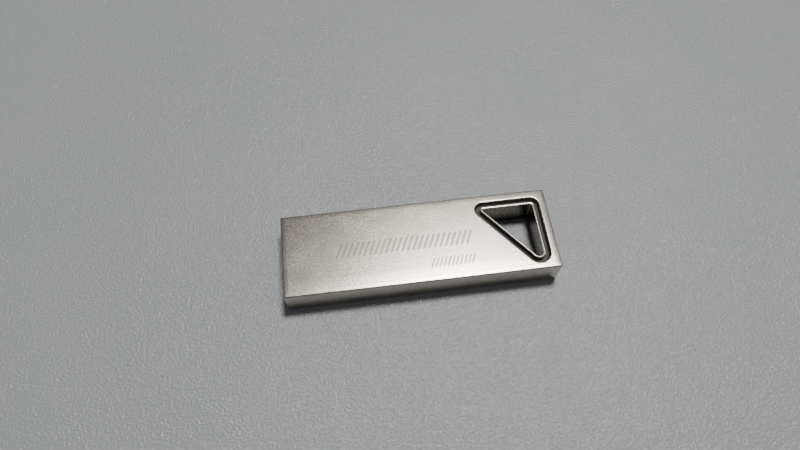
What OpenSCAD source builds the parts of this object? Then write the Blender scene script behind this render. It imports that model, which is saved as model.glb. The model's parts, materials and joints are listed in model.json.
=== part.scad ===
// Capless USB flash drive with a one-piece metal body: the body's own section is the plug shell.
// The open plug mouth faces -X, the key-ring hole is at the +X end, and the marked face is +Z.
// The origin is under the middle of the body, on the surface that the drive lies on.
// Places along the drive are often given as a depth, counted from the plug mouth towards +X.

/* [Body] */
// Length from the plug mouth to the closed end
body_l = 38; // [37.6:0.2:44]
// Width across the plug
body_w = 12.3; // [12.1:0.05:12.4]
// Thickness through the plug
body_t = 4.5; // [4.4:0.05:4.6]
// Radius of the four upright corners
corner_r = 0.25; // [0.2:0.05:0.3]
// Radius along the edges of the two faces
edge_r = 0.2; // [0.1:0.05:0.25]
// Metal over the pocket, on both faces
face_wall = 0.3; // [0.28:0.01:0.35]
// Fillet inside the pocket, along its length
pocket_r = 0.25; // [0.1:0.05:0.3]

/* [Key-ring hole] */
// Clear length of the triangular hole along its rear side
hole_x = 7.4; // [6:0.1:8]
// Clear length of the triangular hole along its end side
hole_y = 9.4; // [8:0.1:9.6]
// Distance from the closed end to the clear hole
hole_end_gap = 2.1; // [1.9:0.1:2.5]
// Distance from the rear side to the clear hole
hole_side_gap = 2.15; // [1.9:0.05:2.4]
// Wall of the eyelet that lines the hole
eyelet_wall = 0.28; // [0.2:0.02:0.4]
// Width of the sunken moat round the eyelet
moat_w = 0.6; // [0.4:0.1:0.7]
// Depth of the moat below each face
moat_depth = 0.8; // [0.3:0.05:1]

/* [Plug] */
// Free height above the contacts, where the socket's tongue goes
free_gap = 1.95; // [1.9:0.01:2]
// Depth of the free space
plug_depth = 12; // [11.8:0.1:13]
// How far the tray's nose sits behind the mouth
nose_recess = 0.35; // [0.2:0.05:0.6]
// Thickness of the nose in front of the module
nose_t = 0.55; // [0.5:0.05:0.8]
// Thickness of the stop behind the module
stop_t = 0.8; // [0.5:0.1:1]
// Width of each plug contact
contact_w = 1; // [0.9:0.05:1.1]

/* [Memory module] */
// Length of the module
module_l = 24.8; // [24.6:0.1:25]
// Width of the module
module_w = 11.3; // [11.2:0.05:11.35]
// Thickness of the module over its contacts
module_t = 1.4; // [1.35:0.01:1.45]
// Thickness of the circuit substrate
substrate_t = 0.26; // [0.2:0.02:0.3]
// Length of a memory die
memory_die_l = 10.4; // [9:0.1:10.6]
// Width of a memory die
memory_die_w = 7.6; // [6.6:0.1:8]
// Side of the square controller die
controller_side = 2.6; // [2:0.1:3]

/* [Hidden] */
$fn = 64;
cut = 1; // how far a cutter runs past the face that it opens
slide_gap = 0.03; // side clearance of the plastic parts in the pocket
module_gap = 0.1; // clearance at the module's sides and behind it
film_t = 0.03; // die-attach film, and solder under a passive
metal_t = 0.04; // plated pads and contacts
glue_t = 0.05; // adhesive under the module

// Pocket
module_depth = nose_recess + nose_t;
stop_depth = module_depth + module_l + module_gap;
tray_end_depth = stop_depth + stop_t;
pocket_depth = tray_end_depth + 0.2;
pocket_w = module_w + 2 * module_gap;
pocket_h = body_t - 2 * face_wall;
pocket_top = body_t - face_wall;

// Levels, counted up from the surface that the drive lies on
contact_z = pocket_top - free_gap;
substrate_top = contact_z - metal_t;
substrate_z = substrate_top - substrate_t;
mold_z = contact_z - module_t;
seat_z = mold_z - glue_t;

// Key-ring hole: the fillets are listed as right angle, plug-side tip, front tip
hole_fillets = [0.3, 0.3, 0.65];
eyelet_fillets = [0.45, 0.42, 0.9];
hole_corner = [body_l / 2 - hole_end_gap, body_w / 2 - hole_side_gap];

// Plug contacts: the power and ground pair mates first, so it reaches further forward
contact_back_depth = 10.9;
power_contact_l = 9;
data_contact_l = 8;
data_y = 1;
power_y = 3.5;

// Chips: the four memory dies step back from the row of fingers, and each is wired to the next
memory_depth = 12.9;
memory_step = 0.5;
memory_count = 4;
memory_die_t = 0.1;
memory_wires = 10;
memory_wire_pitch = 0.65;
layer_t = memory_die_t + film_t;
controller_depth = 5;
controller_t = 0.15;
controller_wires = 7;
controller_wire_pitch = 0.34;
finger_gap = 0.5; // from a die's edge to the middle of the fingers
finger = [0.3, 0.16, 0.02]; // one bond finger
wire_t = 0.04;
wire_loop = 0.1; // how far a wire stands off its die
wire_inset = 0.15; // from a die's edge to the wire's foot

// Passives on the substrate, placed as [depth, y]
capacitor_size = [1, 0.5, 0.35];
resistor_size = [0.6, 0.3, 0.23];
capacitor_places = [for (depth = [2.4, 9.8], y = [-3.9, -2.2, 2.2, 3.9]) [depth, y]];
resistor_places = [for (depth = [4.6, 6.3, 8], side = [-1, 1]) [depth, side * 3.6]];
terminal = 0.28; // length of a passive's end joint, as a share of the passive

function at_depth(depth) = depth - body_l / 2;
function unit(v) = v / norm(v);

// ---------------------------------------------------------------- outlines

module rounded_rectangle(w, h, r) {
    square([w - 2 * r, h], center = true);
    square([w, h - 2 * r], center = true);
    for (x = [-1, 1], y = [-1, 1])
        translate([x * (w / 2 - r), y * (h / 2 - r)])
            circle(r);
}

// The key hole's right triangle with every side moved out by a distance.
// Its corners are the right angle, the tip towards the plug and the tip towards the front.
function hole_triangle(out) =
    let (
        inscribed_r = (hole_x + hole_y - norm([hole_x, hole_y])) / 2,
        growth = 1 + out / inscribed_r,
        corner = hole_corner + [out, out]
    )
    [corner, corner - [hole_x * growth, 0], corner - [0, hole_y * growth]];

// A triangle with a fillet of its own at each corner
module filleted_triangle(corners, radii) {
    onward = [for (i = [0:2]) unit(corners[(i + 1) % 3] - corners[i])];
    back = [for (i = [0:2]) unit(corners[(i + 2) % 3] - corners[i])];
    half_angle = [for (i = [0:2]) acos(onward[i] * back[i]) / 2];
    run = [for (i = [0:2]) radii[i] / tan(half_angle[i])];
    polygon([for (i = [0:2]) each [corners[i] + run[i] * back[i], corners[i] + run[i] * onward[i]]]);
    for (i = [0:2])
        translate(corners[i] + unit(onward[i] + back[i]) * radii[i] / sin(half_angle[i]))
            circle(radii[i]);
}

module clear_hole_outline() filleted_triangle(hole_triangle(0), hole_fillets);

module eyelet_outline() filleted_triangle(hole_triangle(eyelet_wall), eyelet_fillets);

module moat_outline()
    filleted_triangle(hole_triangle(eyelet_wall + moat_w), [for (r = eyelet_fillets) r + moat_w]);

// ---------------------------------------------------------------- solids

// A block that stands on the origin, rounded at its upright corners and along every edge
module rounded_block(l, w, t, plan_r, face_r) {
    intersection() {
        linear_extrude(t) rounded_rectangle(l, w, plan_r);
        translate([-l / 2, 0, t / 2]) rotate([90, 0, 90])
            linear_extrude(l) rounded_rectangle(w, t, face_r);
        translate([0, w / 2, t / 2]) rotate([90, 0, 0])
            linear_extrude(w) rounded_rectangle(l, t, face_r);
    }
}

// The pocket's section between two depths, narrower by a gap on each side
module pocket_run(from, to, gap)
    translate([at_depth(from), 0, body_t / 2]) rotate([90, 0, 90])
        linear_extrude(to - from) rounded_rectangle(pocket_w - 2 * gap, pocket_h, pocket_r);

// A box between two depths and two levels, centred across the drive
module bar(from, to, w, low, high)
    translate([at_depth(from), -w / 2, low]) cube([to - from, w, high - low]);

// A box on the underside of the substrate, centred on a place and hanging down
module hung_box(depth, y, size, drop)
    translate([at_depth(depth) - size[0] / 2, y - size[1] / 2, substrate_z - drop - size[2]])
        cube(size);

module module_plate(low, high)
    translate([at_depth(module_depth + module_l / 2), 0, low])
        linear_extrude(high - low) rounded_rectangle(module_l, module_w, pocket_r);

// ---------------------------------------------------------------- metalwork

module outer_shell() {
    color([0.76, 0.74, 0.71])
    difference() {
        rounded_block(body_l, body_w, body_t, corner_r, edge_r);
        pocket_run(-cut, pocket_depth, 0);
        translate([0, 0, -cut]) linear_extrude(body_t + 2 * cut) eyelet_outline();
        for (z = [-cut, body_t - moat_depth])
            translate([0, 0, z]) linear_extrude(moat_depth + cut) moat_outline();
    }
}

module key_eyelet() {
    color([0.82, 0.8, 0.77])
    linear_extrude(body_t) difference() {
        eyelet_outline();
        clear_hole_outline();
    }
}

// ---------------------------------------------------------------- plastic parts

// The tray: a thin floor with the nose in front of the module and the stop behind it
module module_tray() {
    nose_chamfer = 0.25;
    color([0.09, 0.09, 0.1])
    difference() {
        intersection() {
            pocket_run(nose_recess, tray_end_depth, slide_gap);
            bar(nose_recess, tray_end_depth, body_w, face_wall, contact_z);
        }
        bar(module_depth, stop_depth, body_w, seat_z, body_t);
        translate([at_depth(nose_recess), 0, contact_z]) rotate([0, 45, 0])
            cube([nose_chamfer * sqrt(2), body_w, nose_chamfer * sqrt(2)], center = true);
    }
}

// The retainer fills the pocket above the module's rear, cored from above as mouldings are
module module_retainer() {
    core_rows = 2;
    core_columns = 3;
    rib = 0.8;
    roof_depth = 1.2;
    core_l = (tray_end_depth - plug_depth - rib) / core_columns - rib;
    core_w = (pocket_w - 2 * slide_gap - rib) / core_rows - rib;
    color([0.11, 0.11, 0.12])
    difference() {
        intersection() {
            pocket_run(plug_depth, tray_end_depth, slide_gap);
            bar(plug_depth, tray_end_depth, body_w, contact_z, pocket_top);
        }
        for (column = [0:core_columns - 1], row = [-1, 1])
            translate([
                at_depth(plug_depth + rib + column * (core_l + rib)),
                row * (core_w + rib) / 2 - core_w / 2,
                pocket_top - roof_depth
            ])
                cube([core_l, core_w, body_t]);
    }
}

module tray_adhesive() {
    margin = 1.2;
    color([0.75, 0.73, 0.62])
    bar(module_depth + margin, module_depth + module_l - margin, module_w - 2 * margin, seat_z, mold_z);
}

// ---------------------------------------------------------------- module

module module_substrate() {
    color([0.06, 0.14, 0.1])
    module_plate(substrate_z, substrate_top);
}

// Black moulding compound that fills round everything under the substrate
module module_mold_cap() {
    color([0.12, 0.12, 0.13])
    difference() {
        module_plate(mold_z, substrate_z);
        controller_die();
        controller_die_film();
        controller_bond_wires();
        for (i = [1:memory_count]) {
            memory_die(i);
            memory_die_film(i);
        }
        memory_bond_wires();
        bond_fingers();
        capacitors();
        resistors();
        passive_solder();
    }
}

// One plug contact, with its back end at the common line
module plug_contact(l, y) {
    color([0.86, 0.68, 0.3])
    translate([at_depth(contact_back_depth - l), y - contact_w / 2, substrate_top])
        cube([l, contact_w, metal_t]);
}

module vbus_contact() plug_contact(power_contact_l, -power_y);

module data_minus_contact() plug_contact(data_contact_l, -data_y);

module data_plus_contact() plug_contact(data_contact_l, data_y);

module ground_contact() plug_contact(power_contact_l, power_y);

// Two rows of small factory test pads, under the retainer
module test_pads() {
    pad = 0.8;
    color([0.86, 0.68, 0.3])
    for (depth = [16, 18.4], y = [-3.9:1.3:3.9])
        translate([at_depth(depth), y - pad / 2, substrate_top])
            cube([pad, pad, metal_t]);
}

// ---------------------------------------------------------------- chips

module controller_die() {
    color([0.35, 0.36, 0.4])
    hung_box(controller_depth, 0, [controller_side, controller_side, controller_t], film_t);
}

module controller_die_film() {
    color([0.8, 0.76, 0.6])
    hung_box(controller_depth, 0, [controller_side, controller_side, film_t], 0);
}

function memory_middle(i) = memory_depth + memory_die_l / 2 + (i - 1) * memory_step;

module memory_die(i) {
    color([0.42, 0.42, 0.47])
    hung_box(memory_middle(i), 0, [memory_die_l, memory_die_w, memory_die_t], (i - 1) * layer_t + film_t);
}

module memory_die_film(i) {
    color([0.8, 0.76, 0.6])
    hung_box(memory_middle(i), 0, [memory_die_l, memory_die_w, film_t], (i - 1) * layer_t);
}

// A bond wire from a foot at one depth and drop to a foot at a shallower drop.
// Drops are counted down from the substrate, and the wire stands off the deeper foot by the loop.
module bond_wire(depth, drop, end_depth, end_drop, y) {
    turn = sign(end_depth - depth);
    top = drop + wire_loop;
    path = [
        [depth, -drop],
        [depth, -top - wire_t],
        [end_depth, -top - wire_t],
        [end_depth, -end_drop],
        [end_depth - turn * wire_t, -end_drop],
        [end_depth - turn * wire_t, -top],
        [depth + turn * wire_t, -top],
        [depth + turn * wire_t, -drop]
    ];
    translate([at_depth(0), y + wire_t / 2, substrate_z]) rotate([90, 0, 0])
        linear_extrude(wire_t) polygon(path);
}

// The middle of each finger row beside the controller, as a sign and a depth
function controller_finger_depth(side) = controller_depth + side * (controller_side / 2 + finger_gap);
memory_finger_depth = memory_depth - finger_gap;

function spread(count, pitch) = [for (i = [0:count - 1]) (i - (count - 1) / 2) * pitch];

module controller_bond_wires() {
    color([0.95, 0.78, 0.35])
    for (side = [-1, 1], y = spread(controller_wires, controller_wire_pitch))
        bond_wire(
            controller_depth + side * (controller_side / 2 - wire_inset),
            film_t + controller_t,
            controller_finger_depth(side),
            finger[2],
            y
        );
}

// Each wire hops from a die to the die above it, and the last hop lands on a finger
module memory_bond_wires() {
    color([0.95, 0.78, 0.35])
    for (i = [1:memory_count], y = spread(memory_wires, memory_wire_pitch))
        bond_wire(
            memory_depth + (i - 1) * memory_step + wire_inset,
            i * layer_t,
            i == 1 ? memory_finger_depth : memory_depth + (i - 2) * memory_step + 2 * wire_inset,
            i == 1 ? finger[2] : (i - 1) * layer_t,
            y
        );
}

module bond_fingers() {
    color([0.86, 0.68, 0.3]) {
        for (side = [-1, 1], y = spread(controller_wires, controller_wire_pitch))
            hung_box(controller_finger_depth(side), y, finger, 0);
        for (y = spread(memory_wires, memory_wire_pitch))
            hung_box(memory_finger_depth, y, finger, 0);
    }
}

// ---------------------------------------------------------------- passives

module capacitors() {
    color([0.72, 0.62, 0.5])
    for (place = capacitor_places) hung_box(place[0], place[1], capacitor_size, film_t);
}

module resistors() {
    color([0.15, 0.15, 0.17])
    for (place = resistor_places) hung_box(place[0], place[1], resistor_size, film_t);
}

module end_joints(place, size)
    for (side = [-1, 1])
        hung_box(
            place[0] + side * size[0] * (1 - terminal) / 2,
            place[1],
            [size[0] * terminal, size[1], film_t],
            0
        );

module passive_solder() {
    color([0.75, 0.76, 0.78]) {
        for (place = capacitor_places) end_joints(place, capacitor_size);
        for (place = resistor_places) end_joints(place, resistor_size);
    }
}

// ---------------------------------------------------------------- parts

outer_shell();
key_eyelet();
module_tray();
module_retainer();
tray_adhesive();
module_substrate();
module_mold_cap();
vbus_contact();
data_minus_contact();
data_plus_contact();
ground_contact();
test_pads();
controller_die();
controller_die_film();
controller_bond_wires();
memory_die(1);  // memory_die_1
memory_die(2);  // memory_die_2
memory_die(3);  // memory_die_3
memory_die(4);  // memory_die_4
memory_die_film(1);  // memory_die_film_1
memory_die_film(2);  // memory_die_film_2
memory_die_film(3);  // memory_die_film_3
memory_die_film(4);  // memory_die_film_4
memory_bond_wires();
bond_fingers();
capacitors();
resistors();
passive_solder();
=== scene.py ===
"""The looks of a capless USB flash drive: metal body, eyelet, inner pieces, floor, light and camera."""
import json
import math

import bmesh
import bpy
from mathutils import Matrix, Vector
from mathutils.geometry import tessellate_polygon


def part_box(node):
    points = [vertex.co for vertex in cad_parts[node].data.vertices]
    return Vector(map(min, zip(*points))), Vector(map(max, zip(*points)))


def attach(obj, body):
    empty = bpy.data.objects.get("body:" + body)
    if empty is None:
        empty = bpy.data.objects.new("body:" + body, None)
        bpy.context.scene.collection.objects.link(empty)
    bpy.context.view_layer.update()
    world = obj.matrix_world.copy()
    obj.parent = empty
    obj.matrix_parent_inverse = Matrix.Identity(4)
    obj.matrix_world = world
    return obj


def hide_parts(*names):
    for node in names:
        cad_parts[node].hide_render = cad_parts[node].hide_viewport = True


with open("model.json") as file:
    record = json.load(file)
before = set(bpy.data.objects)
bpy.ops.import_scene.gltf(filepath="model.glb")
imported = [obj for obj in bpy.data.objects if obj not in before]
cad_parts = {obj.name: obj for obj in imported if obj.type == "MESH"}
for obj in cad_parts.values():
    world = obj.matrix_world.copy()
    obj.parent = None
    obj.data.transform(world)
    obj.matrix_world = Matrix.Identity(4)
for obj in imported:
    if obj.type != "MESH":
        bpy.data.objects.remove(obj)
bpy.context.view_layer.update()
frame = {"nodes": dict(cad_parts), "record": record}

MM = 0.001
BODY = "root"  # nothing on the drive moves

# ---------------------------------------------------------------- sizes, in metres

BODY_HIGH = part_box("outer_shell")[1]
TOP = BODY_HIGH[2]
HALF_L = BODY_HIGH[0]
HALF_W = BODY_HIGH[1]
CORNER_R = 0.25 * MM  # upright corners
EDGE_R = 0.2 * MM  # along the edges of the faces
CROWN_W = 0.6 * MM  # the last stretch of each face rolls off a little before its edge radius
CROWN_DROP = 0.014 * MM
CROWN_STEPS = 4
EDGE_TILT = math.atan(2 * CROWN_DROP / CROWN_W)  # how far the face leans over at its edge radius

# Tumbling wears the faces down towards two edges: how wide that stretch is, and its tilt at the edge
FRONT_ROLL_OFF = (2.4 * MM, math.radians(2.8))
HOLE_END_ROLL_OFF = (1.2 * MM, math.radians(2.5))

# Key-ring hole, as in the CAD model. Fillets are right angle, plug-side tip, front tip
HOLE_LEGS = (7.4 * MM, 9.4 * MM)
HOLE_FILLETS = (0.3 * MM, 0.3 * MM, 0.65 * MM)
EYELET_WALL = 0.28 * MM
EYELET_FILLETS = (0.45 * MM, 0.42 * MM, 0.9 * MM)
EYELET_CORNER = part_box("key_eyelet")[1][:2]
MOAT_W = 0.6 * MM
MOAT_DEPTH = 0.8 * MM
MOAT_DRAFT = 0.12 * MM  # how far the moat's wall leans back between its floor and its lip
MOAT_LIP = (0.2 * MM, 0.1 * MM)  # across and down: where the face rolls into the moat
MOAT_FLOOR_R = 0.12 * MM
MOAT_FLOOR_STEPS = 3
RIM_MOAT_R = 0.12 * MM  # the eyelet's rim, at the moat
RIM_BORE_R = 0.05 * MM  # and at the bore
RIM_TILT = math.radians(12)  # the rim slopes down to the bore

# Plug pocket
TRAY_LOW, TRAY_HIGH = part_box("module_tray")
MODULE_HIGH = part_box("module_mold_cap")[1]
SIDE_CLEARANCE = 0.1 * MM
END_CLEARANCE = 0.2 * MM
POCKET_HALF_W = MODULE_HIGH[1] + SIDE_CLEARANCE
POCKET_LOW = TRAY_LOW[2]
POCKET_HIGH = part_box("module_retainer")[1][2]
POCKET_END = TRAY_HIGH[0] + END_CLEARANCE
POCKET_R = 0.25 * MM
MOUTH_LEAD = 0.07 * MM  # rounding inside the mouth

# Generic etched marks, as rows of slanted strokes:
# middle x, middle y, row length, stroke height, stroke width, count
ETCHED_ROWS = (
    (-2.0 * MM, -0.15 * MM, 18.9 * MM, 2.1 * MM, 0.34 * MM, 25),
    (4.35 * MM, -3.45 * MM, 6.2 * MM, 1.4 * MM, 0.22 * MM, 11),
)
STROKE_LEAN = math.radians(24)
STROKE_FILLET = 0.45  # of a stroke's half width
ETCH_DEPTH = 0.015 * MM
ETCH_DRAFT = 0.3  # of the depth

FLOOR_HALF = 0.6

ARC_STEPS = 6
SAME_POINT = 1e-4 * MM  # points of a surface that are this close are one point

# Material slots, after slot 0, which is the piece's main metal
ETCHED_SLOT = 1
# The moat's faces, in a coat darkened as painted shade
PAINTED_SHADE_SLOT = 2
RIM_SLOT = 1


# ---------------------------------------------------------------- outlines
# An outline is a list of (point, outward normal) pairs, both 2D, anticlockwise.

def filleted(corners, radii):
    """A convex polygon, anticlockwise, with a fillet of its own at each corner."""
    outline = []
    count = len(corners)
    for i, corner in enumerate(corners):
        corner = Vector(corner)
        onward = (Vector(corners[(i + 1) % count]) - corner).normalized()
        back = (Vector(corners[i - 1]) - corner).normalized()
        half = onward.angle(back) / 2
        centre = corner + (onward + back).normalized() * radii[i] / math.sin(half)
        first = math.atan2(back.x, -back.y)
        turn = math.pi - 2 * half
        for step in range(ARC_STEPS + 1):
            angle = first + turn * step / ARC_STEPS
            normal = Vector((math.cos(angle), math.sin(angle)))
            outline.append((centre + normal * radii[i], normal))
    return outline


def rectangle(half_l, half_w, radius):
    """A rectangle about the origin with one fillet for all its corners."""
    corners = [(half_l, half_w), (-half_l, half_w), (-half_l, -half_w), (half_l, -half_w)]
    return filleted(corners, [radius] * 4)


def hole_outline(out, radii):
    """The key-ring hole's right triangle with its sides moved out by a distance."""
    leg_x, leg_y = HOLE_LEGS
    inscribed_r = (leg_x + leg_y - math.hypot(leg_x, leg_y)) / 2
    growth = 1 + out / inscribed_r
    corner_x = EYELET_CORNER[0] - EYELET_WALL + out
    corner_y = EYELET_CORNER[1] - EYELET_WALL + out
    corners = [
        (corner_x, corner_y),
        (corner_x - leg_x * growth, corner_y),
        (corner_x, corner_y - leg_y * growth),
    ]
    return filleted(corners, radii)


def stroke_outline(middle, height, width):
    """One slanted stroke, round at its corners."""
    rise = height / 2
    half = width / 2
    lean = math.tan(STROKE_LEAN)
    corners = [
        (middle[0] + half + lean * rise, middle[1] + rise),
        (middle[0] - half + lean * rise, middle[1] + rise),
        (middle[0] - half - lean * rise, middle[1] - rise),
        (middle[0] + half - lean * rise, middle[1] - rise),
    ]
    return filleted(corners, [STROKE_FILLET * half] * 4)


def etched_outlines():
    """All the strokes of both rows."""
    strokes = []
    for middle_x, middle_y, length, height, width, count in ETCHED_ROWS:
        pitch = length / count
        for i in range(count):
            x = middle_x + (i - (count - 1) / 2) * pitch
            strokes.append(stroke_outline((x, middle_y), height, width))
    return strokes


def arc(steps=ARC_STEPS):
    """Angles from 0 to a right angle."""
    return [math.pi / 2 * step / steps for step in range(steps + 1)]


# ---------------------------------------------------------------- closed surfaces

def placed(name, data):
    """A new object in the scene, for a mesh, a light or a camera."""
    made = bpy.data.objects.new(name, data)
    bpy.context.scene.collection.objects.link(made)
    return made


class Surface:
    """A mesh made of rings of points, with a normal of its own at each face corner."""

    def __init__(self):
        self.points = []
        self.wear = []
        self.known = {}
        self.faces = []
        self.normals = []
        self.slots = []

    def ring(self, points, wear=0.0):
        """The points' numbers. A point that is already in the mesh keeps its number and its wear."""
        ids = []
        for point in points:
            key = tuple(round(c / SAME_POINT) for c in point)
            if key not in self.known:
                self.known[key] = len(self.points)
                self.points.append(Vector(point))
                self.wear.append(wear)
            ids.append(self.known[key])
        return ids

    def face(self, ids, normals, slot=0):
        """One face, turned so that it looks the way its normals do."""
        a, b, c = (self.points[i] for i in ids[:3])
        if (b - a).cross(c - a).dot(normals[0]) < 0:
            ids, normals = ids[::-1], normals[::-1]
        self.faces.append(ids)
        self.normals += normals
        self.slots.append(slot)

    def strip(self, ring_a, ring_b, normals_a, normals_b, slot=0, skip=()):
        """Quads between two rings of the same length, but for those whose numbers are skipped."""
        count = len(ring_a)
        for i in range(count):
            j = (i + 1) % count
            if i in skip:
                continue
            ids = [ring_a[i], ring_a[j], ring_b[j], ring_b[i]]
            self.face(ids, [normals_a[i], normals_a[j], normals_b[j], normals_b[i]], slot)

    def plane(self, loops, normal, slot=0):
        """A flat region inside the first loop and outside the others."""
        flat = [i for loop in loops for i in loop]
        triangles = tessellate_polygon([[self.points[i] for i in loop] for loop in loops])
        for triangle in triangles:
            self.face([flat[i] for i in triangle], [normal] * 3, slot)

    def finish(self, name, materials):
        """The mesh as an object in the scene."""
        mesh = bpy.data.meshes.new(name)
        mesh.from_pydata(self.points, [], self.faces)
        mesh.update()
        wear = mesh.attributes.new("wear", "FLOAT", "POINT")
        wear.data.foreach_set("value", self.wear)
        for polygon, slot in zip(mesh.polygons, self.slots):
            polygon.material_index = slot
            polygon.use_smooth = True
        mesh.normals_split_custom_set([tuple(normal) for normal in self.normals])
        for material in materials:
            mesh.materials.append(material)
        return placed(name, mesh)


def swept(surface, outline, stations, slot=0, skip_between=None):
    """Rings of one outline at (offset, height, out, up, wear) stations, joined by strips.

    offset moves the outline along its normals, and (out, up) is the surface normal there. wear
    goes from 0 to 1, where the metal is most polished. skip_between holds the number of a strip
    and the numbers of the quads that it leaves open.
    """
    rings = []
    for offset, height, out, up, wear in stations:
        points = [(*(point + normal * offset), height) for point, normal in outline]
        normals = [Vector((*(normal * out), up)).normalized() for _, normal in outline]
        rings.append((surface.ring(points, wear), normals))
    for k in range(len(rings) - 1):
        skip = skip_between[1] if skip_between and skip_between[0] == k else ()
        surface.strip(rings[k][0], rings[k + 1][0], rings[k][1], rings[k + 1][1], slot, skip)
    return [ids for ids, _ in rings]


# ---------------------------------------------------------------- nodes of materials

def new_material(name):
    """A node material, with its node tree and its shader."""
    material = bpy.data.materials.new(name)
    material.use_nodes = True
    return material, material.node_tree, material.node_tree.nodes["Principled BSDF"]


def node(tree, kind, **values):
    """A new node. Each value goes to the input of that name or, failing that, to the property."""
    made = tree.nodes.new(kind)
    for key, value in values.items():
        if key in made.inputs:
            made.inputs[key].default_value = value
        else:
            setattr(made, key, value)
    return made


def noise(tree, feature, detail=2.0, roughness=0.5, stretch=None):
    """Noise whose blobs are about one feature across, in the object's own space."""
    coordinates = node(tree, "ShaderNodeTexCoord").outputs["Object"]
    if stretch:
        mapping = node(tree, "ShaderNodeMapping")
        mapping.inputs["Scale"].default_value = stretch
        tree.links.new(coordinates, mapping.inputs["Vector"])
        coordinates = mapping.outputs["Vector"]
    texture = node(tree, "ShaderNodeTexNoise", Scale=1 / feature, Detail=detail, Roughness=roughness)
    tree.links.new(coordinates, texture.inputs["Vector"])
    return texture.outputs["Fac"]


def remap(tree, value, low, high, from_low=0.3, from_high=0.7):
    """A value's usual range, from_low to from_high, stretched to low to high."""
    made = node(tree, "ShaderNodeMapRange")
    made.inputs["From Min"].default_value = from_low
    made.inputs["From Max"].default_value = from_high
    made.inputs["To Min"].default_value = low
    made.inputs["To Max"].default_value = high
    tree.links.new(value, made.inputs["Value"])
    return made.outputs["Result"]


def math_node(tree, operation, a, b):
    """A sum or product and the like, of two numbers or sockets."""
    made = node(tree, "ShaderNodeMath", operation=operation)
    for socket, value in zip(made.inputs, (a, b)):
        if isinstance(value, (int, float)):
            socket.default_value = value
        else:
            tree.links.new(value, socket)
    return made.outputs["Value"]


def mix_colours(tree, factor, low, high):
    """A colour between two, by a factor from 0 to 1."""
    made = node(tree, "ShaderNodeMix", data_type="RGBA")
    tree.links.new(factor, made.inputs["Factor"])
    # A Mix node has a socket of each name for every data type, so the colour ones are picked out.
    colours = {socket.name: socket for socket in made.inputs if socket.type == "RGBA"}
    colours["A"].default_value = (*low, 1)
    colours["B"].default_value = (*high, 1)
    return next(socket for socket in made.outputs if socket.type == "RGBA")


def bump(tree, shader, height, distance, strength=1.0):
    """Fine relief: a height of 1 stands out by distance metres."""
    made = node(tree, "ShaderNodeBump", Strength=strength, Distance=distance)
    tree.links.new(height, made.inputs["Height"])
    tree.links.new(made.outputs["Normal"], shader.inputs["Normal"])


# ---------------------------------------------------------------- materials

def tumbled_roll_off(tree):
    """How high the faces stand, in metres: they sink towards the front edge and the hole's end."""
    axes = node(tree, "ShaderNodeSeparateXYZ")
    tree.links.new(node(tree, "ShaderNodeTexCoord").outputs["Object"], axes.inputs["Vector"])
    sunk = []
    for axis, side, edge, (width, tilt) in (
        ("Y", -1, HALF_W, FRONT_ROLL_OFF),
        ("X", 1, HALF_L, HOLE_END_ROLL_OFF),
    ):
        outward = math_node(tree, "MULTIPLY", axes.outputs[axis], side)
        past = math_node(tree, "MAXIMUM", math_node(tree, "SUBTRACT", outward, edge - width), 0.0)
        steepening = math.tan(tilt) / (2 * width)
        squared = math_node(tree, "MULTIPLY", past, past)
        sunk.append(math_node(tree, "MULTIPLY", squared, steepening))
    return math_node(tree, "MULTIPLY", math_node(tree, "ADD", *sunk), -1.0)


def satin_metal(name, dark, light, rough, grain_depth):
    """Bead-blasted plated metal: fine grain, faint cloudiness, and edges polished by wear."""
    material, tree, shader = new_material(name)
    shader.inputs["Metallic"].default_value = 1.0
    cloud = noise(tree, 3 * MM, detail=3)
    grain = noise(tree, 0.3 * MM, detail=4, roughness=0.7)
    worn = node(tree, "ShaderNodeAttribute", attribute_name="wear").outputs["Fac"]

    cloud_share = math_node(tree, "MULTIPLY", cloud, 0.3)
    grain_share = math_node(tree, "MULTIPLY", grain, 0.7)
    tint = remap(tree, math_node(tree, "ADD", cloud_share, grain_share), 0, 1, 0.38, 0.62)
    tree.links.new(mix_colours(tree, tint, dark, light), shader.inputs["Base Color"])

    cloudy = remap(tree, cloud, rough - 0.01, rough + 0.01)
    grainy = math_node(tree, "ADD", cloudy, remap(tree, grain, -0.03, 0.03))
    polished = math_node(tree, "SUBTRACT", grainy, math_node(tree, "MULTIPLY", worn, 0.05))
    tree.links.new(polished, shader.inputs["Roughness"])

    pitted = math_node(tree, "MULTIPLY", grain, grain_depth)
    relief = math_node(tree, "ADD", tumbled_roll_off(tree), pitted)
    bump(tree, shader, relief, 1.0)  # the relief is in metres already
    return material


def painted_shade_recess(name):
    """Painted shade for the moat: a dull, dark coat, mottled at random."""
    material, tree, shader = new_material(name)
    shader.inputs["Specular IOR Level"].default_value = 0.3
    mottle = noise(tree, 0.5 * MM, detail=3, roughness=0.6)
    tree.links.new(
        mix_colours(tree, remap(tree, mottle, 0, 1), (0.12, 0.114, 0.092), (0.165, 0.155, 0.128)),
        shader.inputs["Base Color"],
    )
    tree.links.new(remap(tree, mottle, 0.65, 0.8), shader.inputs["Roughness"])
    bump(tree, shader, mottle, 0.01 * MM, 0.5)
    return material


def etched_metal(name):
    """Laser-etched metal: frosted and a little darker, with the fine rows that a laser leaves."""
    material, tree, shader = new_material(name)
    shader.inputs["Metallic"].default_value = 1.0
    rows = noise(tree, 0.06 * MM, detail=1, stretch=(0.2, 1, 1))
    frost = noise(tree, 0.05 * MM, detail=2, roughness=0.7)
    mixed = math_node(tree, "MULTIPLY", math_node(tree, "ADD", rows, frost), 0.5)
    tree.links.new(
        mix_colours(tree, remap(tree, mixed, 0, 1), (0.17, 0.16, 0.143), (0.3, 0.281, 0.253)),
        shader.inputs["Base Color"],
    )
    tree.links.new(remap(tree, mixed, 0.28, 0.38), shader.inputs["Roughness"])
    bump(tree, shader, mixed, 0.01 * MM, 0.6)
    return material


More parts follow.
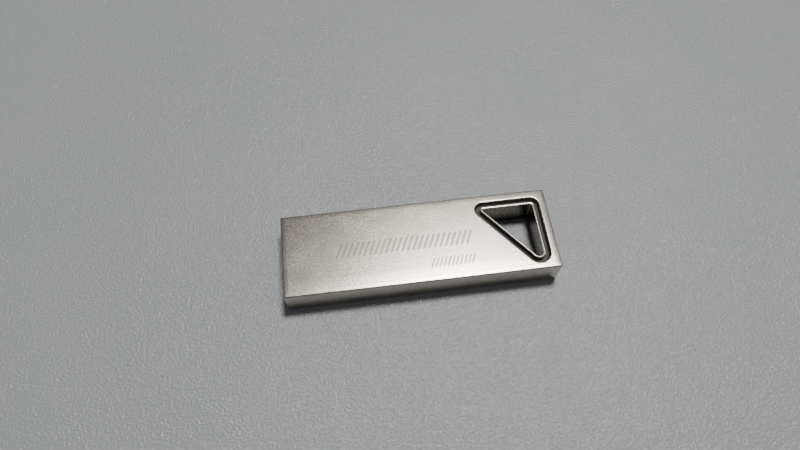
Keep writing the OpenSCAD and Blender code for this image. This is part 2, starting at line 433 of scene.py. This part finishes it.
def moulded_plastic(name, dark, light, rough, grain=0.08 * MM):
    """Black moulded plastic with a fine spark-eroded grain."""
    material, tree, shader = new_material(name)
    pits = noise(tree, grain, detail=2, roughness=0.6)
    cloud = noise(tree, 3 * MM)
    tint = remap(tree, cloud, 0, 1)
    tree.links.new(mix_colours(tree, tint, dark, light), shader.inputs["Base Color"])
    tree.links.new(remap(tree, pits, rough - 0.06, rough + 0.06), shader.inputs["Roughness"])
    bump(tree, shader, pits, 0.006 * MM, 0.7)
    return material


def plated_gold(name):
    """Gold plate with faint wiping marks along the plug."""
    material, tree, shader = new_material(name)
    shader.inputs["Metallic"].default_value = 1.0
    wipes = noise(tree, 0.08 * MM, detail=2, stretch=(0.05, 1, 1))
    tree.links.new(
        mix_colours(tree, remap(tree, wipes, 0, 1), (0.86, 0.56, 0.2), (0.98, 0.72, 0.33)),
        shader.inputs["Base Color"],
    )
    tree.links.new(remap(tree, wipes, 0.3, 0.42), shader.inputs["Roughness"])
    bump(tree, shader, wipes, 0.003 * MM, 0.6)
    return material


def flecked(name, dark, light, rough, feature, metallic=0.0):
    """A plain material with small flecks, for films, ceramics, silicon, solder and mask."""
    material, tree, shader = new_material(name)
    shader.inputs["Metallic"].default_value = metallic
    flecks = noise(tree, feature, detail=3, roughness=0.6)
    tint = remap(tree, flecks, 0, 1)
    tree.links.new(mix_colours(tree, tint, dark, light), shader.inputs["Base Color"])
    tree.links.new(remap(tree, flecks, rough - 0.05, rough + 0.05), shader.inputs["Roughness"])
    bump(tree, shader, flecks, 0.004 * MM, 0.5)
    return material


BODY_METAL = satin_metal(
    "satin_body_metal",
    dark=(0.49, 0.453, 0.399),
    light=(0.6, 0.558, 0.5),
    rough=0.248,
    grain_depth=0.012 * MM,
)
# The eyelet's walls are darkened as painted shade for the hole; its rim keeps a lighter copy of the
# same metal.
EYELET_METAL_PAINTED_SHADE = satin_metal(
    "satin_eyelet_metal",
    dark=(0.2, 0.187, 0.155),
    light=(0.26, 0.245, 0.205),
    rough=0.27,
    grain_depth=0.002 * MM,
)
RIM_METAL = satin_metal(
    "eyelet_rim_metal",
    dark=(0.58, 0.545, 0.5),
    light=(0.64, 0.605, 0.56),
    rough=0.26,
    grain_depth=0.0015 * MM,
)
ETCHED = etched_metal("etched_metal")
# The moat's dark coat is painted shade, where the moat's own shadow falls.
PAINTED_SHADE_RECESS = painted_shade_recess("painted_shade_recess")

# Materials of the inner pieces, under the names of the record's slots.
# Plastics have dark, light, rough and grain, and the others dark, light, rough, feature and metallic.
PLASTICS = {
    "tray_plastic": ((0.012, 0.012, 0.013), (0.02, 0.02, 0.022), 0.5),
    "retainer_plastic": ((0.014, 0.014, 0.015), (0.024, 0.024, 0.026), 0.56),
    "moulding_compound": ((0.018, 0.018, 0.02), (0.03, 0.03, 0.032), 0.62, 0.05 * MM),
}
FLECKED = {
    "adhesive": ((0.6, 0.56, 0.42), (0.78, 0.74, 0.6), 0.45, 0.5 * MM),
    "solder_mask": ((0.008, 0.02, 0.014), (0.014, 0.034, 0.022), 0.32, 0.15 * MM),
    "silicon": ((0.16, 0.17, 0.2), (0.26, 0.27, 0.32), 0.2, 0.3 * MM, 0.7),
    "die_film": ((0.6, 0.54, 0.36), (0.78, 0.72, 0.54), 0.6, 0.2 * MM),
    "bond_wire_gold": ((0.88, 0.62, 0.22), (1.0, 0.78, 0.36), 0.22, 0.1 * MM, 1.0),
    "capacitor_ceramic": ((0.42, 0.31, 0.2), (0.56, 0.43, 0.3), 0.5, 0.1 * MM),
    "resistor_ceramic": ((0.02, 0.02, 0.022), (0.04, 0.04, 0.045), 0.35, 0.1 * MM),
    "solder": ((0.55, 0.56, 0.58), (0.74, 0.75, 0.77), 0.3, 0.08 * MM, 1.0),
}
INNER_MATERIALS = {name: moulded_plastic(name, *looks) for name, looks in PLASTICS.items()}
INNER_MATERIALS["gold_plate"] = plated_gold("gold_plate")
INNER_MATERIALS.update({name: flecked(name, *looks) for name, looks in FLECKED.items()})


# ---------------------------------------------------------------- body

def mirrored(stations):
    """The same stations for the bottom face, in the opposite order."""
    return [(offset, TOP - height, out, -up, wear) for offset, height, out, up, wear in stations[::-1]]


def outer_stations():
    """The outside, from the bottom face's edge radius up the wall and round the top face's."""
    stations = []
    for step in range(ARC_STEPS + 1):
        angle = EDGE_TILT + (math.pi / 2 - EDGE_TILT) * step / ARC_STEPS
        out, down = math.sin(angle), math.cos(angle)
        height = CROWN_DROP + EDGE_R * (math.cos(EDGE_TILT) - down)
        stations.append((-EDGE_R * (1 - out), height, out, -down, math.sin(2 * angle)))
    return stations + mirrored(stations)


def lip_stations():
    """The rolled edge, a quarter of an ellipse, where the top face turns down into the moat."""
    across, down = MOAT_LIP
    stations = []
    for angle in arc():
        out, up = math.sin(angle), math.cos(angle)
        offset = MOAT_W + MOAT_DRAFT + across * (1 - out)
        stations.append((offset, TOP - down * (1 - up), -out / across, up / down, 0.0))
    return stations


def moat_stations():
    """The top face's moat, from under its lip down the wall and across the floor to the eyelet."""
    stations = [lip_stations()[-1]]
    floor = TOP - MOAT_DEPTH
    for angle in arc(MOAT_FLOOR_STEPS):
        offset = MOAT_W - MOAT_FLOOR_R * (1 - math.cos(angle))
        height = floor + MOAT_FLOOR_R * (1 - math.sin(angle))
        stations.append((offset, height, -math.cos(angle), math.sin(angle), 0.0))
    stations.append((0.0, floor, 0.0, 1.0, 0.0))
    return stations


def etch_stations():
    """An etched stroke's slanted wall. Its normals lean up, so that its edge shades softly."""
    out, up = -0.5, 0.9
    return [
        (0.0, TOP, out, up, 0.0),
        (-ETCH_DRAFT * ETCH_DEPTH, TOP - ETCH_DEPTH, out, up, 0.0),
    ]


def crown(surface, edge_ring, side):
    """A face's gentle roll-off, from its flat middle to the edge ring. Returns the flat's ring."""
    rings = []
    for step in range(CROWN_STEPS + 1):
        along = step / CROWN_STEPS
        inset = EDGE_R * (1 - math.sin(EDGE_TILT)) + CROWN_W * (1 - along)
        height = (TOP if side > 0 else 0.0) - side * CROWN_DROP * along ** 2
        slope = math.tan(EDGE_TILT) * along
        outline = rectangle(HALF_L - inset, HALF_W - inset, CORNER_R)
        if step == CROWN_STEPS:
            ids = edge_ring
        else:
            ids = surface.ring([(*point, height) for point, _ in outline])
        rings.append((ids, [Vector((*(normal * slope), side)).normalized() for _, normal in outline]))
    for (ids_a, normals_a), (ids_b, normals_b) in zip(rings, rings[1:]):
        surface.strip(ids_a, ids_b, normals_a, normals_b)
    return rings[0][0]


def pocket(surface):
    """The plug mouth's rounding and the pocket behind it. Returns the mouth's ring."""
    middle_z = (POCKET_LOW + POCKET_HIGH) / 2
    outline = rectangle(POCKET_HALF_W, (POCKET_HIGH - POCKET_LOW) / 2, POCKET_R)
    stations = []
    for angle in arc():
        grow = MOUTH_LEAD * (1 - math.sin(angle))
        depth = MOUTH_LEAD * (1 - math.cos(angle))
        stations.append((grow, -HALF_L + depth, math.sin(angle), math.cos(angle), math.sin(2 * angle)))
    stations.append((0.0, POCKET_END, 1.0, 0.0, 0.0))
    rings = []
    for offset, x, inward, forward, wear in stations:
        points = []
        normals = []
        for point, normal in outline:
            y, z = point + normal * offset
            points.append((x, y, z + middle_z))
            normals.append(Vector((-forward, *(-normal * inward))).normalized())
        rings.append((surface.ring(points, wear), normals))
    for (ids_a, normals_a), (ids_b, normals_b) in zip(rings, rings[1:]):
        surface.strip(ids_a, ids_b, normals_a, normals_b)
    surface.plane([rings[-1][0]], Vector((-1, 0, 0)))
    return rings[0][0]


def make_body():
    """The one-piece metal body, with its edges, moats, mouth, pocket and etched marks."""
    surface = Surface()
    outline = rectangle(HALF_L, HALF_W, CORNER_R)
    # The quad between the second and third corners' arcs is the plug end, between the edge radii.
    mouth_side = 2 * (ARC_STEPS + 1) - 1
    outside = swept(surface, outline, outer_stations(), skip_between=(ARC_STEPS, (mouth_side,)))
    lower, upper = outside[ARC_STEPS], outside[ARC_STEPS + 1]
    plug_end = [lower[mouth_side], lower[mouth_side + 1], upper[mouth_side + 1], upper[mouth_side]]
    surface.plane([plug_end, pocket(surface)], Vector((-1, 0, 0)))

    eyelet = hole_outline(EYELET_WALL, EYELET_FILLETS)
    lip, moat = lip_stations(), moat_stations()
    top_rings = swept(surface, eyelet, lip)
    low_rings = swept(surface, eyelet, mirrored(lip))
    # The moat's walls and floor, darkened with painted shade
    swept(surface, eyelet, moat, slot=PAINTED_SHADE_SLOT)
    swept(surface, eyelet, mirrored(moat), slot=PAINTED_SHADE_SLOT)
    # The hole that the eyelet fills, from one moat's floor to the other's
    swept(surface, eyelet, [(0.0, TOP - MOAT_DEPTH, -1.0, 0.0, 0.0), (0.0, MOAT_DEPTH, -1.0, 0.0, 0.0)])

    up = Vector((0, 0, 1))
    loops = [crown(surface, outside[-1], 1), top_rings[0]]
    for stroke in etched_outlines():
        edge, floor = swept(surface, stroke, etch_stations(), slot=ETCHED_SLOT)
        surface.plane([floor], up, slot=ETCHED_SLOT)
        loops.append(edge)
    surface.plane(loops, up)
    surface.plane([crown(surface, outside[0], -1), low_rings[-1]], -up)

    body = surface.finish("metal_body", [BODY_METAL, ETCHED, PAINTED_SHADE_RECESS])
    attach(body, BODY)
    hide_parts("outer_shell")


# ---------------------------------------------------------------- eyelet

def rim_stations(start, sign, radius, crest):
    """One edge of the bottom face's rim, from the sloping crest round to the wall."""
    stations = []
    for step in range(ARC_STEPS + 1):
        angle = start + (math.pi / 2 - start) * step / ARC_STEPS
        out, down = math.sin(angle), math.cos(angle)
        height = crest + radius * (math.cos(start) - down)
        stations.append((-sign * radius * (1 - out), height, sign * out, -down, 0.0))
    return stations


def make_eyelet():
    """The thin sleeve that lines the hole, with a rim at each face that slopes down to the bore."""
    surface = Surface()
    outside = hole_outline(EYELET_WALL, EYELET_FILLETS)
    inside = hole_outline(0.0, HOLE_FILLETS)
    crest = RIM_MOAT_R * (1 - math.cos(RIM_TILT))
    drop = (EYELET_WALL - RIM_MOAT_R - RIM_BORE_R) * math.tan(RIM_TILT)
    moat_edge = rim_stations(-RIM_TILT, 1, RIM_MOAT_R, crest)
    bore_edge = rim_stations(RIM_TILT, -1, RIM_BORE_R, crest + drop)
    crests = []
    for outline, edge in ((outside, moat_edge), (inside, bore_edge)):
        low = swept(surface, outline, edge, slot=RIM_SLOT)
        # The walls, in the eyelet metal that is darkened as painted shade
        swept(surface, outline, [edge[-1], mirrored(edge)[0]])
        high = swept(surface, outline, mirrored(edge), slot=RIM_SLOT)
        crests.append((low[0], high[-1]))
    inward = -math.sin(RIM_TILT)
    for face, side in ((0, -1), (1, 1)):
        upright = side * math.cos(RIM_TILT)
        slopes = [
            [Vector((*(normal * inward), upright)) for _, normal in outline]
            for outline in (outside, inside)
        ]
        surface.strip(crests[0][face], crests[1][face], *slopes, slot=RIM_SLOT)
    # Walls with painted shade, rim in the lighter copy of the metal
    eyelet = surface.finish("eyelet_sleeve", [EYELET_METAL_PAINTED_SHADE, RIM_METAL])
    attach(eyelet, BODY)
    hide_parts("key_eyelet")


# ---------------------------------------------------------------- inner pieces

# Pieces that show through the plug mouth, with their slots and how far their edges are broken
SHOWN_INSIDE = {
    "module_tray": ("tray_plastic", 0.06 * MM),
    "module_retainer": ("retainer_plastic", 0.06 * MM),
    "module_substrate": ("solder_mask", 0.02 * MM),
    "vbus_contact": ("gold_plate", 0.012 * MM),
    "data_minus_contact": ("gold_plate", 0.012 * MM),
    "data_plus_contact": ("gold_plate", 0.012 * MM),
    "ground_contact": ("gold_plate", 0.012 * MM),
}
WELD = 0.0005 * MM
FLAT_WITHIN = math.radians(1)
SHARP_OVER = math.radians(30)


def softened(name, node_name, slot, width):
    """A copy of a CAD node with its flats joined up and its sharp edges broken."""
    source = frame["nodes"][node_name]
    copy = bpy.data.meshes.new(name)
    places = [vertex.co for vertex in source.data.vertices]
    copy.from_pydata(places, [], [tuple(polygon.vertices) for polygon in source.data.polygons])
    piece = placed(name, copy)
    mesh = bmesh.new()
    mesh.from_mesh(copy)
    bmesh.ops.remove_doubles(mesh, verts=mesh.verts, dist=WELD)
    bmesh.ops.dissolve_limit(mesh, angle_limit=FLAT_WITHIN, verts=mesh.verts, edges=mesh.edges)
    bmesh.ops.bevel(
        mesh,
        geom=[edge for edge in mesh.edges if edge.is_manifold and edge.calc_face_angle() > SHARP_OVER],
        offset=width,
        segments=2,
        profile=0.5,
        affect="EDGES",
        clamp_overlap=True,
    )
    for face in mesh.faces:
        face.smooth = True
    mesh.to_mesh(copy)
    mesh.free()
    copy.materials.append(INNER_MATERIALS[slot])
    weighted = piece.modifiers.new("flat faces stay flat", "WEIGHTED_NORMAL")
    weighted.keep_sharp = True
    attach(piece, BODY)
    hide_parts(node_name)


def finish_inner_pieces():
    """Broken edges for the pieces that show, and materials for those that stay as in the CAD model."""
    for node_name, (slot, width) in SHOWN_INSIDE.items():
        softened(node_name + "_piece", node_name, slot, width)
    slots = {part["node"]: part["material_slot"] for part in frame["record"]["subparts"]}
    for node_name, cad_object in frame["nodes"].items():
        if slots[node_name] in INNER_MATERIALS:
            cad_object.data.materials.clear()
            cad_object.data.materials.append(INNER_MATERIALS[slots[node_name]])


# ---------------------------------------------------------------- floor, light and camera

def make_floor():
    """A plain pale table top with a fine pebbled surface."""
    corners = [
        (-FLOOR_HALF, -FLOOR_HALF, 0),
        (FLOOR_HALF, -FLOOR_HALF, 0),
        (FLOOR_HALF, FLOOR_HALF, 0),
        (-FLOOR_HALF, FLOOR_HALF, 0),
    ]
    mesh = bpy.data.meshes.new("floor")
    mesh.from_pydata(corners, [], [(0, 1, 2, 3)])
    floor = placed("floor", mesh)
    material, tree, shader = new_material("floor")
    pebbles = noise(tree, 0.36 * MM, detail=2, roughness=0.5)
    cloud = noise(tree, 20 * MM)
    tree.links.new(
        mix_colours(tree, remap(tree, cloud, 0, 1), (0.465, 0.48, 0.495), (0.485, 0.495, 0.51)),
        shader.inputs["Base Color"],
    )
    tree.links.new(remap(tree, pebbles, 0.14, 0.2), shader.inputs["Roughness"])
    bump(tree, shader, pebbles, 0.2 * MM, 1.0)
    mesh.materials.append(material)


def make_softbox():
    """A round softbox, almost overhead, aimed at the drive."""
    toward = Vector((0.168, 0.235, 1.0)).normalized()
    distance = 0.6
    light = bpy.data.lights.new("key_softbox", "AREA")
    light.shape = "DISK"
    light.size = 0.132
    light.energy = 2.5
    light.color = (1.0, 0.985, 0.96)
    lamp = placed("key_softbox", light)
    lamp.location = toward * distance
    lamp.rotation_euler = (-toward).to_track_quat("-Z", "Y").to_euler()


def make_world():
    """A room that is pale at the horizon and dark overhead."""
    world = bpy.data.worlds.new("studio")
    world.use_nodes = True
    tree = world.node_tree
    background = tree.nodes["Background"]
    background.inputs["Strength"].default_value = 1.0
    axes = node(tree, "ShaderNodeSeparateXYZ")
    tree.links.new(node(tree, "ShaderNodeTexCoord").outputs["Generated"], axes.inputs["Vector"])
    height = remap(tree, axes.outputs["Z"], 0, 1, 0.3, 0.8)
    glow = mix_colours(tree, height, (0.235, 0.243, 0.25), (0.035, 0.037, 0.04))
    tree.links.new(glow, background.inputs["Color"])
    bpy.context.scene.world = world


def make_camera():
    """A close hand-held view from the front and well above, rolled a little."""
    place = Vector((-7.89, -38.55, 84.31)) * MM
    target = Vector((-2.12, 4.03, 2.25)) * MM
    roll = math.radians(0.51)
    camera = bpy.data.cameras.new("camera")
    camera.lens = 28.8
    camera.sensor_width = 36
    camera.clip_start = 0.001
    lens = placed("camera", camera)
    level = (target - place).to_track_quat("-Z", "Y").to_matrix()
    lens.matrix_world = Matrix.Translation(place) @ (level @ Matrix.Rotation(roll, 3, "Z")).to_4x4()
    bpy.context.scene.camera = lens


make_camera()
make_softbox()
make_world()
make_floor()
make_body()
make_eyelet()
finish_inner_pieces()
